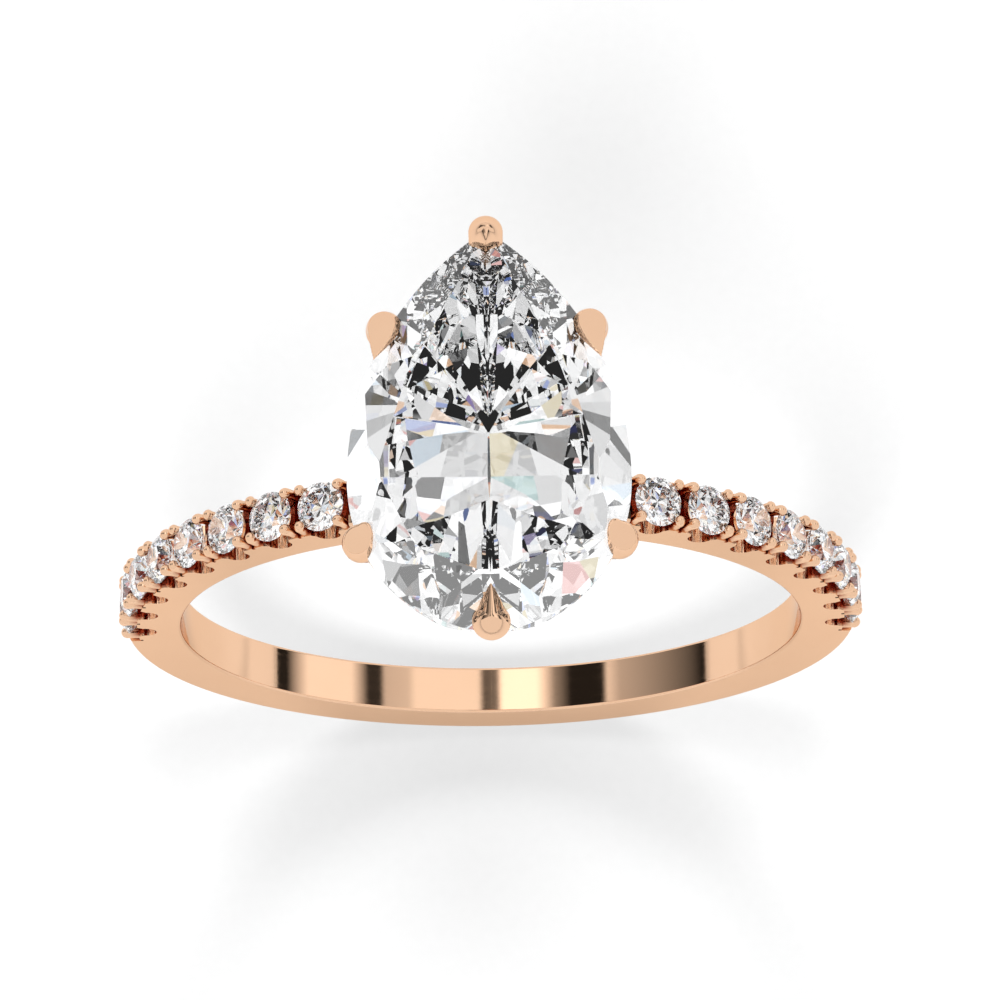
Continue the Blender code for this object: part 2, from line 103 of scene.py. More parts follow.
# Centre stone
STONE_LOW, STONE_HIGH = box_mm("centre_stone")
PEAR_HALF_WIDTH = (STONE_HIGH.x - STONE_LOW.x) / 2
PEAR_TIP_Y = STONE_HIGH.y
PEAR_BASE_Y = STONE_LOW.y
PEAR_WIDEST_Y = -1.3
PEAR_CULET_Y = -1.6
PEAR_CROWN = 1.05
PEAR_GIRDLE = 0.10
PEAR_PAVILION = 3.0
GIRDLE_Z = STONE_HIGH.z - PEAR_CROWN - 0.08
PEAR_POINTS = 44
# Crown mains: direction and the share of the way out where each one meets the table
PEAR_MAINS = ((142, 0.74), (184, 0.76), (-133, 0.70), (-90, 0.65), (-47, 0.70), (-4, 0.76), (38, 0.74), (90, 0.62))
# Pavilion facets: direction on the right half, slope; the flanks meet in a keel instead of a main at the tip
PEAR_PAVILION_CUTS = (
    (-90, 0.890), (-47, 0.862), (-36, 0.903), (-15, 0.903), (-8, 0.868), (-4, 0.862), (1, 0.868), (7, 0.903),
    (17, 0.93), (27, 0.903), (38, 0.862), (46, 0.90), (53, 0.875), (62, 0.93),
)

# Basket
FOOT_RADIUS = 0.36
CLAW_RADIUS = 0.475
NOSE_RADIUS = 0.38
# Claws along the flanks: direction and length of the nose, tilt of the face filed on the outer side
FILED_CLAWS = (
    ("claw_shoulder_left", -104.0, 1.10, 28.0),
    ("claw_shoulder_right", -76.0, 1.10, 28.0),
    ("claw_side_left", 62.0, 0.42, 30.0),
    ("claw_side_right", 118.0, 0.42, 30.0),
)
# Claws at the two ends: wire radius, direction and length of the nose, height of its ridge over the girdle at the
# wire and at the tip, sharpness of the ridge, how late the nose narrows
RIDGED_CLAWS = (
    ("claw_point", 0.43, -90.0, 0.52, 0.86, 0.78, 1.25, 2.0),
    ("claw_base", 0.475, 90.0, 1.10, 0.88, 0.88, 1.45, 2.0),
)
DOME_HEIGHT = 0.52
CAD_CLAW_RADIUS = 0.452
SKIN_VOXEL = 0.025
POLISH_ROUNDS = 5
RAILS = ("upper_gallery_rail", "lower_gallery_rail")
RAIL_TAPER = 0.25
RAIL_POINTS = 160
SOLDER_GAP = 0.006
STONE_GAP = 0.01


# Mesh helpers

def plain_object(name, bm):
    """An object at the origin, in millimetres, that isn't part of the piece list yet."""
    bmesh.ops.recalc_face_normals(bm, faces=bm.faces[:])
    mesh = bpy.data.meshes.new(name)
    bm.to_mesh(mesh)
    bm.free()
    made = bpy.data.objects.new(name, mesh)
    bpy.context.scene.collection.objects.link(made)
    return made


def evaluated_mesh(thing):
    bpy.context.view_layer.update()
    return bpy.data.meshes.new_from_object(thing.evaluated_get(bpy.context.evaluated_depsgraph_get()))


def bake_modifiers(thing):
    mesh = evaluated_mesh(thing)
    thing.modifiers.clear()
    thing.data = mesh


def cut(target, tool, operation="DIFFERENCE", solver="EXACT"):
    """Applies one Boolean and removes its tool."""
    modifier = target.modifiers.new(tool.name, "BOOLEAN")
    modifier.operation = operation
    modifier.solver = solver
    modifier.object = tool
    bake_modifiers(target)
    bpy.data.objects.remove(tool)


def shade(mesh, angle):
    mesh.shade_smooth()
    mesh.set_sharp_from_angle(angle=math.radians(angle))


def even_normals(thing, angle):
    """Smooth shading that keeps flat faces flat beside their rounded edges."""
    shade(thing.data, angle)
    weighted = thing.modifiers.new("even normals", "WEIGHTED_NORMAL")
    weighted.keep_sharp = True
    weighted.weight = 100
    bake_modifiers(thing)


def hand_over(thing, name, material, slot, *nodes):
    """Turns a finished millimetre object into a piece of the ring; only the lamps' shadows of it reach the floor."""
    thing.data.transform(Matrix.Scale(TO_M, 4))
    thing.name = name
    thing.data.name = name
    thing.data.materials.clear()
    thing.data.materials.append(material)
    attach(thing, BODY)
    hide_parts(*nodes)
    thing.visible_diffuse = False
    return thing


def join_into(bm, part, matrix):
    copy = part.copy()
    bmesh.ops.transform(copy, matrix=matrix, verts=copy.verts[:])
    mesh = bpy.data.meshes.new("joining")
    copy.to_mesh(mesh)
    copy.free()
    bm.from_mesh(mesh)
    bpy.data.meshes.remove(mesh)


def around(angle):
    return Matrix.Rotation(angle, 4, "Y")


def tube(rings, closed=False):
    """Skins a list of vertex-position rings; the ends are capped unless the tube closes on itself."""
    bm = bmesh.new()
    rows = [[bm.verts.new(point) for point in ring] for ring in rings]
    pairs = list(zip(rows, rows[1:]))
    if closed:
        pairs.append((rows[-1], rows[0]))
    for first, second in pairs:
        count = len(first)
        for index in range(count):
            following = (index + 1) % count
            bm.faces.new((first[index], first[following], second[following], second[index]))
    if not closed:
        bm.faces.new(rows[0])
        bm.faces.new(rows[-1])
    bmesh.ops.recalc_face_normals(bm, faces=bm.faces[:])
    return bm


def turned(profile, sides):
    """Turns (radius, height) points about Z; the first and last lie on the axis."""
    bm = bmesh.new()
    line = [bm.verts.new((radius, 0.0, height)) for radius, height in profile]
    edges = [bm.edges.new(pair) for pair in zip(line, line[1:])]
    bmesh.ops.spin(bm, geom=line + edges, cent=(0, 0, 0), axis=(0, 0, 1), angle=math.tau,
                   steps=sides, use_merge=True, use_duplicate=False)
    bmesh.ops.remove_doubles(bm, verts=bm.verts[:], dist=1e-5)
    bmesh.ops.recalc_face_normals(bm, faces=bm.faces[:])
    return bm


# Stones

def cut_away(bm, point, normal):
    geometry = bm.verts[:] + bm.edges[:] + bm.faces[:]
    result = bmesh.ops.bisect_plane(bm, geom=geometry, dist=2e-5, plane_co=point,
                                    plane_no=normal, clear_outer=True)
    rim = [item for item in result["geom_cut"] if isinstance(item, bmesh.types.BMEdge)]
    if len(rim) > 2:
        bmesh.ops.edgeloop_fill(bm, edges=rim)


def brilliant(outline, mains, pavilion_cuts, girdle, crown, depth, grow=0.0, upper_halves=lambda angle: True):
    """Grinds a brilliant from a blank, facet by facet; outline points are relative to the culet's place."""
    bm = bmesh.new()
    blank = bm.faces.new([bm.verts.new((x, y, -2 * depth)) for x, y in outline])
    raised = bmesh.ops.extrude_face_region(bm, geom=[blank])
    tops = [item for item in raised["geom"] if isinstance(item, bmesh.types.BMVert)]
    bmesh.ops.translate(bm, vec=(0, 0, 4 * depth), verts=tops)
    bmesh.ops.recalc_face_normals(bm, faces=bm.faces[:])

    def reach(angle):
        return max(x * math.cos(angle) + y * math.sin(angle) for x, y in outline)

    def grind(angle, distance, height, slope, side):
        away = Vector((math.cos(angle), math.sin(angle), 0))
        normal = (away * slope + Vector((0, 0, side))).normalized()
        cut_away(bm, away * distance + Vector((0, 0, height)) + normal * grow, normal)

    half = girdle / 2
    cut_away(bm, Vector((0, 0, half + crown + grow)), Vector((0, 0, 1)))
    cut_away(bm, Vector((0, 0, -half - depth - grow)), Vector((0, 0, -1)))
    for angle, slope in pavilion_cuts:
        grind(angle, reach(angle), -half, slope, -1)
    for index, (angle, table) in enumerate(mains):
        following, next_table = mains[(index + 1) % len(mains)]
        step = (following - angle) % math.tau
        between = angle + step / 2
        share = (table + next_table) / 2
        grind(angle, reach(angle), half, crown / ((1 - table) * reach(angle)), 1)
        star = 0.62 * crown / ((1 - share) * reach(between))
        grind(between, 0.95 * share * reach(between), half + crown, star, 1)
        for part in (0.25, 0.75) if upper_halves(between) else ():
            towards = angle + step * part
            grind(towards, reach(towards), half, 1.27 * crown / ((1 - share) * reach(towards)), 1)
    return bm


def pear_outline():
    rise = PEAR_TIP_Y - PEAR_WIDEST_Y
    drop = PEAR_WIDEST_Y - PEAR_BASE_Y
    arc_radius = (PEAR_HALF_WIDTH ** 2 + rise ** 2) / (2 * PEAR_HALF_WIDTH)
    arc_end = math.asin(rise / arc_radius)
    right = []
    for step in range(PEAR_POINTS):
        angle = arc_end * step / PEAR_POINTS
        right.append((PEAR_HALF_WIDTH - arc_radius * (1 - math.cos(angle)),
                      PEAR_WIDEST_Y + arc_radius * math.sin(angle)))
    flank = right + [(0.0, PEAR_TIP_Y)] + [(-x, y) for x, y in reversed(right)]
    base = []
    for step in range(1, 2 * PEAR_POINTS):
        angle = math.pi + math.pi * step / (2 * PEAR_POINTS)
        base.append((PEAR_HALF_WIDTH * math.cos(angle), PEAR_WIDEST_Y + drop * math.sin(angle)))
    return flank + base


def pear_solid(grow=0.0):
    outline = [(x, y - PEAR_CULET_Y) for x, y in pear_outline()]
    if grow:
        outline = [(x * (1 + grow / PEAR_HALF_WIDTH), y * (1 + grow / PEAR_HALF_WIDTH)) for x, y in outline]
    mains = [(math.radians(degrees), table) for degrees, table in PEAR_MAINS]
    right = [(math.radians(degrees), slope) for degrees, slope in PEAR_PAVILION_CUTS]
    cuts = right + [(math.pi - angle, slope) for angle, slope in right]
    bm = brilliant(outline, mains, cuts, PEAR_GIRDLE, PEAR_CROWN, PEAR_PAVILION, grow,
                   lambda angle: math.sin(angle) > -0.5)
    bmesh.ops.translate(bm, vec=(0, PEAR_CULET_Y, GIRDLE_Z), verts=bm.verts[:])
    return bm


def centre_stone(material):
    stone = plain_object("centre_stone_cut", pear_solid())
    shade(stone.data, 3)
    hand_over(stone, "centre_stone_cut", material, "diamond", "centre_stone")


def accent_solid():
    outline = []
    for step in range(48):
        angle = math.tau * step / 48
        outline.append((ACCENT_RADIUS * math.cos(angle), ACCENT_RADIUS * math.sin(angle)))
    mains = [(math.tau * step / 8, ACCENT_TABLE) for step in range(8)]
    slope = ACCENT_PAVILION / ACCENT_RADIUS
    cuts = [(math.tau * step / 8, slope) for step in range(8)]
    cuts += [(math.tau * (step + part) / 8, 1.045 * slope) for step in range(8) for part in (0.25, 0.75)]
    return brilliant(outline, mains, cuts, ACCENT_GIRDLE, ACCENT_CROWN, ACCENT_PAVILION * 0.99)


def node_angle(node):
    low, high = box_mm(node)
    middle = (low + high) / 2
    return math.atan2(middle.x, middle.z)


def accent_stones(material):
    for label, side in (("left", -1), ("right", 1)):
        for number in range(ACCENTS_PER_SIDE):
            node = f"accent_stone_{label}_{number + 1}"
            bm = accent_solid()
            place = around(accent_angle(side, number)) @ Matrix.Translation((0, 0, GIRDLE_AT))
            bmesh.ops.transform(bm, matrix=place, verts=bm.verts[:])
            stone = plain_object(node + "_cut", bm)
            shade(stone.data, 3)
            hand_over(stone, node + "_cut", material, "diamond", node)


# Band

FIRST_ANGLE = node_angle("accent_stone_right_1")
LAST_ANGLE = node_angle(f"accent_stone_right_{ACCENTS_PER_SIDE}")
PITCH = (LAST_ANGLE - FIRST_ANGLE) / (ACCENTS_PER_SIDE - 1)


def accent_angle(side, number):
    return side * (FIRST_ANGLE + PITCH * number)


def gap_angle(side, number):
    return side * (FIRST_ANGLE + PITCH * (number - 0.5))


def rounded_section():
    """The band's section as (radius, y) points, with a quarter round at each corner."""
    corners = (
        (OUTER_RADIUS - OUTER_ROUND, HALF_WIDTH - OUTER_ROUND, OUTER_ROUND, 0),
        (INNER_RADIUS + INNER_ROUND, HALF_WIDTH - INNER_ROUND, INNER_ROUND, 90),
        (INNER_RADIUS + INNER_ROUND, -HALF_WIDTH + INNER_ROUND, INNER_ROUND, 180),
        (OUTER_RADIUS - OUTER_ROUND, -HALF_WIDTH + OUTER_ROUND, OUTER_ROUND, 270),
    )
    points = []
    for radius, y, size, start in corners:
        for step in range(9):
            angle = math.radians(start + 90 * step / 8)
            points.append((radius + size * math.cos(angle), y + size * math.sin(angle)))
    return points


def plain_band():
    rings = []
    for step in range(BAND_STEPS):
        turn = math.tau * step / BAND_STEPS
        rings.append([(r * math.sin(turn), y, r * math.cos(turn)) for r, y in rounded_section()])
    return plain_object("band", tube(rings, closed=True))


def ledge_tool():
    bm = bmesh.new()
    steps = 96
    over = OUTER_RADIUS + 1
    for side in (-1, 1):
        start = gap_angle(side, 0)
        end = gap_angle(side, ACCENTS_PER_SIDE)
        angles = [start + (end - start) * step / steps for step in range(steps + 1)]
        low = [(LEDGE_RADIUS * math.sin(angle), LEDGE_RADIUS * math.cos(angle)) for angle in angles]
        high = [(over * math.sin(angle), over * math.cos(angle)) for angle in reversed(angles)]
        face = bm.faces.new([bm.verts.new((x, -2 * HALF_WIDTH, z)) for x, z in low + high])
        raised = bmesh.ops.extrude_face_region(bm, geom=[face])
        moved = [item for item in raised["geom"] if isinstance(item, bmesh.types.BMVert)]
        bmesh.ops.translate(bm, vec=(0, 4 * HALF_WIDTH, 0), verts=moved)
    return plain_object("ledges", bm)


def prong(way, across):
    """A split prong at the ring's top: a round post whose bead leans over the stone beside it."""
    shoulder = PRONG_TOP - BEAD_RADIUS
    profile = [(0.0, PRONG_ROOT), (PRONG_RADIUS, PRONG_ROOT), (PRONG_RADIUS, shoulder - 0.14),
               (PRONG_RADIUS + 0.008, shoulder - 0.07)]
    for step in range(8):
        angle = math.radians(90 * step / 8)
        profile.append((BEAD_RADIUS * math.cos(angle), shoulder + BEAD_RADIUS * math.sin(angle)))
    profile.append((0.0, PRONG_TOP))
    bm = turned(profile, 24)
    for vert in bm.verts:
        share = min(max((vert.co.z - shoulder + 0.2) / 0.3, 0.0), 1.0)
        lean = BEAD_LEAN * share * share * (3 - 2 * share)
        vert.co.x += way * lean
        vert.co.y -= math.copysign(0.35 * lean, across)
    bmesh.ops.translate(bm, vec=(way * PRONG_FROM_SLIT, across, 0), verts=bm.verts[:])
    return bm


def prong_tool():
    bm = bmesh.new()
    for way in (-1, 1):
        for across in (-PRONG_SIDE, PRONG_SIDE):
            post = prong(way, across)
            for side in (-1, 1):
                for number in range(ACCENTS_PER_SIDE + 1):
                    if number == 0 and way != side:
                        continue
                    if number == ACCENTS_PER_SIDE and way == side:
                        continue
                    join_into(bm, post, around(gap_angle(side, number)))
            post.free()
    return plain_object("prongs", bm)


def bar_tool(radius, height):
    """Round cuts through the side walls, one under each stone."""
    bm = bmesh.new()
    turn = Matrix.Translation((0, 0, height)) @ Matrix.Rotation(math.pi / 2, 4, "X")
    bar = bmesh.new()
    bmesh.ops.create_cone(bar, cap_ends=True, segments=48, radius1=radius, radius2=radius,
                          depth=4 * HALF_WIDTH, matrix=turn)
    for side in (-1, 1):
        for number in range(ACCENTS_PER_SIDE):
            join_into(bm, bar, around(accent_angle(side, number)))
    bar.free()
    return plain_object("scallops", bm)


def slit_tool(width, length, floor_radius):
    """Saw cuts across the band, one in each gap between stones."""
    bm = bmesh.new()
    blade = bmesh.new()
    bmesh.ops.create_cube(blade, size=1.0)
    height = OUTER_RADIUS + 1 - floor_radius
    bmesh.ops.scale(blade, vec=(width, length, height), verts=blade.verts[:])
    bmesh.ops.translate(blade, vec=(0, 0, floor_radius + height / 2), verts=blade.verts[:])
    for side in (-1, 1):
        for number in range(ACCENTS_PER_SIDE + 1):
            join_into(bm, blade, around(gap_angle(side, number)))
    blade.free()
    return plain_object("slits", bm)


def seat_tool():
    bm = bmesh.new()
    edge = ACCENT_RADIUS + SEAT_GAP
    half = ACCENT_GIRDLE / 2 + SEAT_GAP
    table = ACCENT_TABLE * ACCENT_RADIUS + SEAT_GAP
    top = GIRDLE_AT + half + ACCENT_CROWN
    profile = [
        (0.0, INNER_RADIUS - 0.5),
        (LIGHT_HOLE_RADIUS, INNER_RADIUS - 0.5),
        (LIGHT_HOLE_RADIUS, SEAT_FLOOR),
        (SEAT_RADIUS, LEDGE_RADIUS),
        (edge, GIRDLE_AT - half),
        (edge, GIRDLE_AT + half),
        (table, top),
        (0.0, top),
    ]
    seat = turned(profile, 48)
    for side in (-1, 1):
        for number in range(ACCENTS_PER_SIDE):
            join_into(bm, seat, around(accent_angle(side, number)))
    seat.free()
    return plain_object("seats", bm)


def band(material):
    ring = plain_band()
    cut(ring, ledge_tool())
    cut(ring, prong_tool(), "UNION")
    for radius, height in SCALLOPS:
        cut(ring, bar_tool(radius, height))
    cut(ring, slit_tool(SLIT_WIDTH, 4 * HALF_WIDTH, SLIT_FLOOR))
    cut(ring, slit_tool(CHANNEL_WIDTH, CHANNEL_LENGTH, CHANNEL_FLOOR))
    cut(ring, seat_tool())
    even_normals(ring, 32)
    hand_over(ring, "polished_band", material, "rose_gold", "shank")


# Basket

TURNS = [math.tau * turn / 40 for turn in range(40)]


def claw_ends(node):
    """Centres of the claw's foot and of its wire at the girdle, from the CAD box's inner and outer corners."""
    low, high = box_mm(node)
    middle = (low + high) / 2
    foot = Vector((0, 0, low.z + FOOT_RADIUS))
    hold = Vector((0, 0, GIRDLE_Z))
    if abs(middle.x) > 0.3:
        outwards = math.copysign(1, middle.x)
        hold.x = (high.x if outwards > 0 else low.x) - outwards * CAD_CLAW_RADIUS
        foot.x = (low.x if outwards > 0 else high.x) + outwards * FOOT_RADIUS
    onwards = math.copysign(1, middle.y)
    hold.y = (high.y if onwards > 0 else low.y) - onwards * CAD_CLAW_RADIUS
    foot.y = (low.y if onwards > 0 else high.y) + onwards * FOOT_RADIUS
    return foot, hold


def sweep(path, radii, side):
    """A tube along a path that bends in one upright plane."""
    rings = []
    for index, centre in enumerate(path):
        before = path[max(index - 1, 0)]
        after = path[min(index + 1, len(path) - 1)]
        along = (after - before).normalized()
        level = (side - along * side.dot(along)).normalized()
        up = along.cross(level)
        rings.append([centre + radii[index] * (math.cos(turn) * level + math.sin(turn) * up) for turn in TURNS])
    return tube(rings)


def bezier(points, share):
    """De Casteljau's point on a Bezier curve."""
    line = list(points)
    while len(line) > 1:
        line = [a.lerp(b, share) for a, b in zip(line, line[1:])]
    return line[0]


def rail_tube(node, grow=0.0):
    """Round wire bent to the egg shape that the CAD rail's box gives."""
    low, high = box_mm(node)
    radius = (high.z - low.z) / 2
    centre = (low + high) / 2
    half_width = (high.x - low.x) / 2 - radius
    half_length = (high.y - low.y) / 2 - radius
    tries = [math.radians(degrees) for degrees in range(360)]
    widest = max(math.cos(angle) * (1 - RAIL_TAPER * math.sin(angle)) for angle in tries)
    path = []
    for step in range(RAIL_POINTS):
        angle = math.tau * step / RAIL_POINTS
        across = math.cos(angle) * (1 - RAIL_TAPER * math.sin(angle)) / widest
        path.append(Vector((half_width * across, centre.y + half_length * math.sin(angle), centre.z)))
    rings = []
    for index, point in enumerate(path):
        along = (path[(index + 1) % RAIL_POINTS] - path[index - 1]).normalized()
        side = Vector((along.y, -along.x, 0))
        ring = []
        for step in range(32):
            angle = math.tau * step / 32
            spoke = math.cos(angle) * side + math.sin(angle) * Vector((0, 0, 1))
            ring.append(point + (radius + grow) * spoke)
        rings.append(ring)
    return tube(rings, closed=True)


def claw_parts(node, direction):
    foot, hold = claw_ends(node)
    away = Vector((math.cos(math.radians(direction)), math.sin(math.radians(direction)), 0))
    return foot, hold, away, Vector((-away.y, away.x, 0))


def finish_claw(node, bm, foot, material):
    """Rounds the foot, melts the shapes into one skin and cuts room for the stone and the rails out of it."""
    ball = bmesh.new()
    bmesh.ops.create_uvsphere(ball, u_segments=40, v_segments=20, radius=FOOT_RADIUS,
                              matrix=Matrix.Translation(foot))
    join_into(bm, ball, Matrix.Identity(4))
    ball.free()
    wire = plain_object(node + "_wire", bm)
    remesh = wire.modifiers.new("one skin", "REMESH")
    remesh.mode = "VOXEL"
    remesh.voxel_size = SKIN_VOXEL
    smooth = wire.modifiers.new("polish", "SMOOTH")
    smooth.factor = 0.5
    smooth.iterations = POLISH_ROUNDS
    bake_modifiers(wire)
    cut(wire, plain_object("stone_room", pear_solid(STONE_GAP)))
    for rail_node in RAILS:
        cut(wire, plain_object("rail_room", rail_tube(rail_node, SOLDER_GAP)))
    shade(wire.data, 35)
    return hand_over(wire, node + "_wire", material, "rose_gold", node)


def filed_claw(row, material):
    """A wire bent over the stone's edge, drawn to a point along the flank and filed flat on its outer side."""
    node, direction, reach, filed = row
    foot, hold, away, level = claw_parts(node, direction)
    inward = Vector((-hold.x, PEAR_WIDEST_Y - hold.y, 0)).normalized()
    up = Vector((0, 0, 1))
    tip = hold + away * reach
    crown_slope = PEAR_CROWN / (0.27 * PEAR_HALF_WIDTH)
    tip.z = GIRDLE_Z + min(max(0.0, away.dot(inward)) * reach * crown_slope, PEAR_CROWN) + 0.06
    bend = (hold, hold + up * 0.42, hold + away * 0.35 * reach + up * 0.72, tip)
    path = [foot.lerp(hold, step / 24) for step in range(24)]
    radii = [FOOT_RADIUS + (CLAW_RADIUS - FOOT_RADIUS) * step / 24 for step in range(24)]
    for step in range(33):
        share = step / 32
        path.append(bezier(bend, share))
        shrink = CLAW_RADIUS + (NOSE_RADIUS - CLAW_RADIUS) * min(share * 2, 1)
        radii.append(max(shrink * (1 - share ** 3), 0.02))
    bm = sweep(path, radii, level)
    tilt = math.radians(filed)
    crest = hold + inward * 0.24 + up * 0.66
    cut_away(bm, crest, -inward * math.sin(tilt) + up * math.cos(tilt))
    return finish_claw(node, bm, foot, material)


def ridged_claw(row, material):
    """A wire capped by a dome, with a level ridge that runs from the dome over the crown."""
    node, radius, direction, reach, ridge, tip_ridge, sharpness, late = row
    foot, hold, away, level = claw_parts(node, direction)
    up = Vector((0, 0, 1))
    top = hold + up * (ridge - DOME_HEIGHT)
    rings = []
    for step in range(25):
        share = step / 24
        size = FOOT_RADIUS + (radius - FOOT_RADIUS) * share
        rings.append([foot.lerp(top, share) + size * Vector((math.cos(turn), math.sin(turn), 0)) for turn in TURNS])
    for step in range(1, 16):
        size = math.cos(math.pi / 2 * step / 15.4)
        centre = top + up * DOME_HEIGHT * (1 - size ** sharpness) ** 0.8
        rings.append([centre + radius * size * Vector((math.cos(turn), math.sin(turn), 0)) for turn in TURNS])
    bm = tube(rings)
    nose = []
    for step in range(31):
        share = step / 30
        size = max(NOSE_RADIUS * (1 - share ** late), 0.02)
        height = DOME_HEIGHT * (1 - 0.5 * share ** late)
        centre = top + away * reach * share
        centre.z = hold.z + ridge + (tip_ridge - ridge) * share - height
        below = max(centre.z - GIRDLE_Z + 0.1, size)
        ring = []
        for turn in TURNS:
            across = math.cos(turn)
            rise = math.sin(turn)
            lift = height * (1 - abs(across) ** sharpness) ** 0.8 if rise > 0 else below * rise
            ring.append(centre + size * across * level + lift * up)
        nose.append(ring)
    join_into(bm, tube(nose), Matrix.Identity(4))
    return finish_claw(node, bm, foot, material)


def rail(node, material):
    wire = plain_object(node + "_wire", rail_tube(node))
    shade(wire.data, 40)
    return hand_over(wire, node + "_wire", material, "rose_gold", node)


def saddle(material):
    low, high = box_mm("head_saddle")
    bm = bmesh.new()
    bmesh.ops.create_cube(bm, size=1.0)
    bmesh.ops.scale(bm, vec=high - low, verts=bm.verts[:])
    bmesh.ops.translate(bm, vec=(low + high) / 2, verts=bm.verts[:])
    block = plain_object("saddle", bm)
    bar = bmesh.new()
    room = OUTER_RADIUS + SOLDER_GAP
    bmesh.ops.create_cone(bar, cap_ends=True, segments=BAND_STEPS, radius1=room, radius2=room,
                          depth=4 * HALF_WIDTH, matrix=Matrix.Rotation(math.pi / 2, 4, "X"))
    cut(block, plain_object("underside", bar))
    soft = block.modifiers.new("soft edges", "BEVEL")
    soft.width = 0.05
    soft.segments = 4
    soft.limit_method = "ANGLE"
    soft.angle_limit = math.radians(35)
    bake_modifiers(block)
    even_normals(block, 40)
    return hand_over(block, "polished_saddle", material, "rose_gold", "head_saddle")


# Materials

def new_material(name):
    material = bpy.data.materials.new(name)
    material.use_nodes = True
    return material, material.node_tree, material.node_tree.nodes["Principled BSDF"]


def add(tree, kind, **values):
    node = tree.nodes.new(kind)
    for key, value in values.items():
        setattr(node, key, value)
    return node


def noise(tree, vector, scale, detail=3.0):
    node = add(tree, "ShaderNodeTexNoise")
    node.inputs["Scale"].default_value = scale
    node.inputs["Detail"].default_value = detail
    tree.links.new(vector, node.inputs["Vector"])
    return node.outputs["Fac"]


def ranged(tree, value, low, high, from_low=0.3, from_high=0.7):
    node = add(tree, "ShaderNodeMapRange")
    node.inputs["From Min"].default_value = from_low
    node.inputs["From Max"].default_value = from_high
    node.inputs["To Min"].default_value = low
    node.inputs["To Max"].default_value = high
    tree.links.new(value, node.inputs["Value"])
    return node.outputs["Result"]


def stepped(tree, value, stops, interpolation):
    """A ramp of (place, colour) stops; a plain number is a grey."""
    node = add(tree, "ShaderNodeValToRGB")
    ramp = node.color_ramp
    ramp.interpolation = interpolation
    while len(ramp.elements) > 1:
        ramp.elements.remove(ramp.elements[-1])
    for index, (place, colour) in enumerate(stops):
        stop = ramp.elements[0] if index == 0 else ramp.elements.new(place)
        stop.position = place
        stop.color = (*colour, 1.0) if isinstance(colour, tuple) else (colour, colour, colour, 1.0)
    tree.links.new(value, node.inputs["Fac"])
    return node.outputs["Color"]


def mixed(tree, factor, first, second):
    """Mixes two colours; each is a socket or a plain RGBA value."""
    node = add(tree, "ShaderNodeMix", data_type="RGBA")
    for name, value in (("Factor", factor), ("A", first), ("B", second)):
        if isinstance(value, bpy.types.NodeSocket):
            tree.links.new(value, node.inputs[name])
        else:
            node.inputs[name].default_value = value
    return node.outputs["Result"]


def ring_coordinates(tree, stretch):
    """Object coordinates unrolled round the finger: distance round the ring, along Y and outwards."""
    coordinates = add(tree, "ShaderNodeTexCoord")
    split = add(tree, "ShaderNodeSeparateXYZ")
    tree.links.new(coordinates.outputs["Object"], split.inputs[0])
    turn = add(tree, "ShaderNodeMath", operation="ARCTAN2")
    tree.links.new(split.outputs["X"], turn.inputs[0])
    tree.links.new(split.outputs["Z"], turn.inputs[1])
    round_way = add(tree, "ShaderNodeMath", operation="MULTIPLY")
    round_way.inputs[1].default_value = OUTER_RADIUS * TO_M / stretch
    tree.links.new(turn.outputs[0], round_way.inputs[0])
    flat = add(tree, "ShaderNodeCombineXYZ")
    tree.links.new(split.outputs["X"], flat.inputs["X"])
    tree.links.new(split.outputs["Z"], flat.inputs["Y"])
    out = add(tree, "ShaderNodeVectorMath", operation="LENGTH")
    tree.links.new(flat.outputs[0], out.inputs[0])
    joined = add(tree, "ShaderNodeCombineXYZ")
    tree.links.new(round_way.outputs[0], joined.inputs["X"])
    tree.links.new(split.outputs["Y"], joined.inputs["Y"])
    tree.links.new(out.outputs["Value"], joined.inputs["Z"])
    return joined.outputs[0], coordinates.outputs["Object"], out.outputs["Value"]


def painted_recess_shade(tree, plain, out):
    """Mask of the painted shade: 1 in the cuts under and between the accent stones, 0 on the band's walls, beads and
    bore.
    """
    split = add(tree, "ShaderNodeSeparateXYZ")
    tree.links.new(plain, split.inputs[0])
    side = add(tree, "ShaderNodeMath", operation="ABSOLUTE")
    tree.links.new(split.outputs["Y"], side.inputs[0])
    inside = ranged(tree, side.outputs[0], 1.0, 0.0, (HALF_WIDTH - 0.09) * TO_M, (HALF_WIDTH - 0.01) * TO_M)
    below = ranged(tree, out, 1.0, 0.0, (OUTER_RADIUS - 0.26) * TO_M, (OUTER_RADIUS - 0.04) * TO_M)
    over = ranged(tree, out, 0.0, 1.0, (OUTER_RADIUS - 0.66) * TO_M, (OUTER_RADIUS - 0.52) * TO_M)
    first = add(tree, "ShaderNodeMath", operation="MULTIPLY")
    tree.links.new(inside, first.inputs[0])
    tree.links.new(below, first.inputs[1])
    second = add(tree, "ShaderNodeMath", operation="MULTIPLY")
    tree.links.new(first.outputs[0], second.inputs[0])
    tree.links.new(over, second.inputs[1])
    return second.outputs[0]


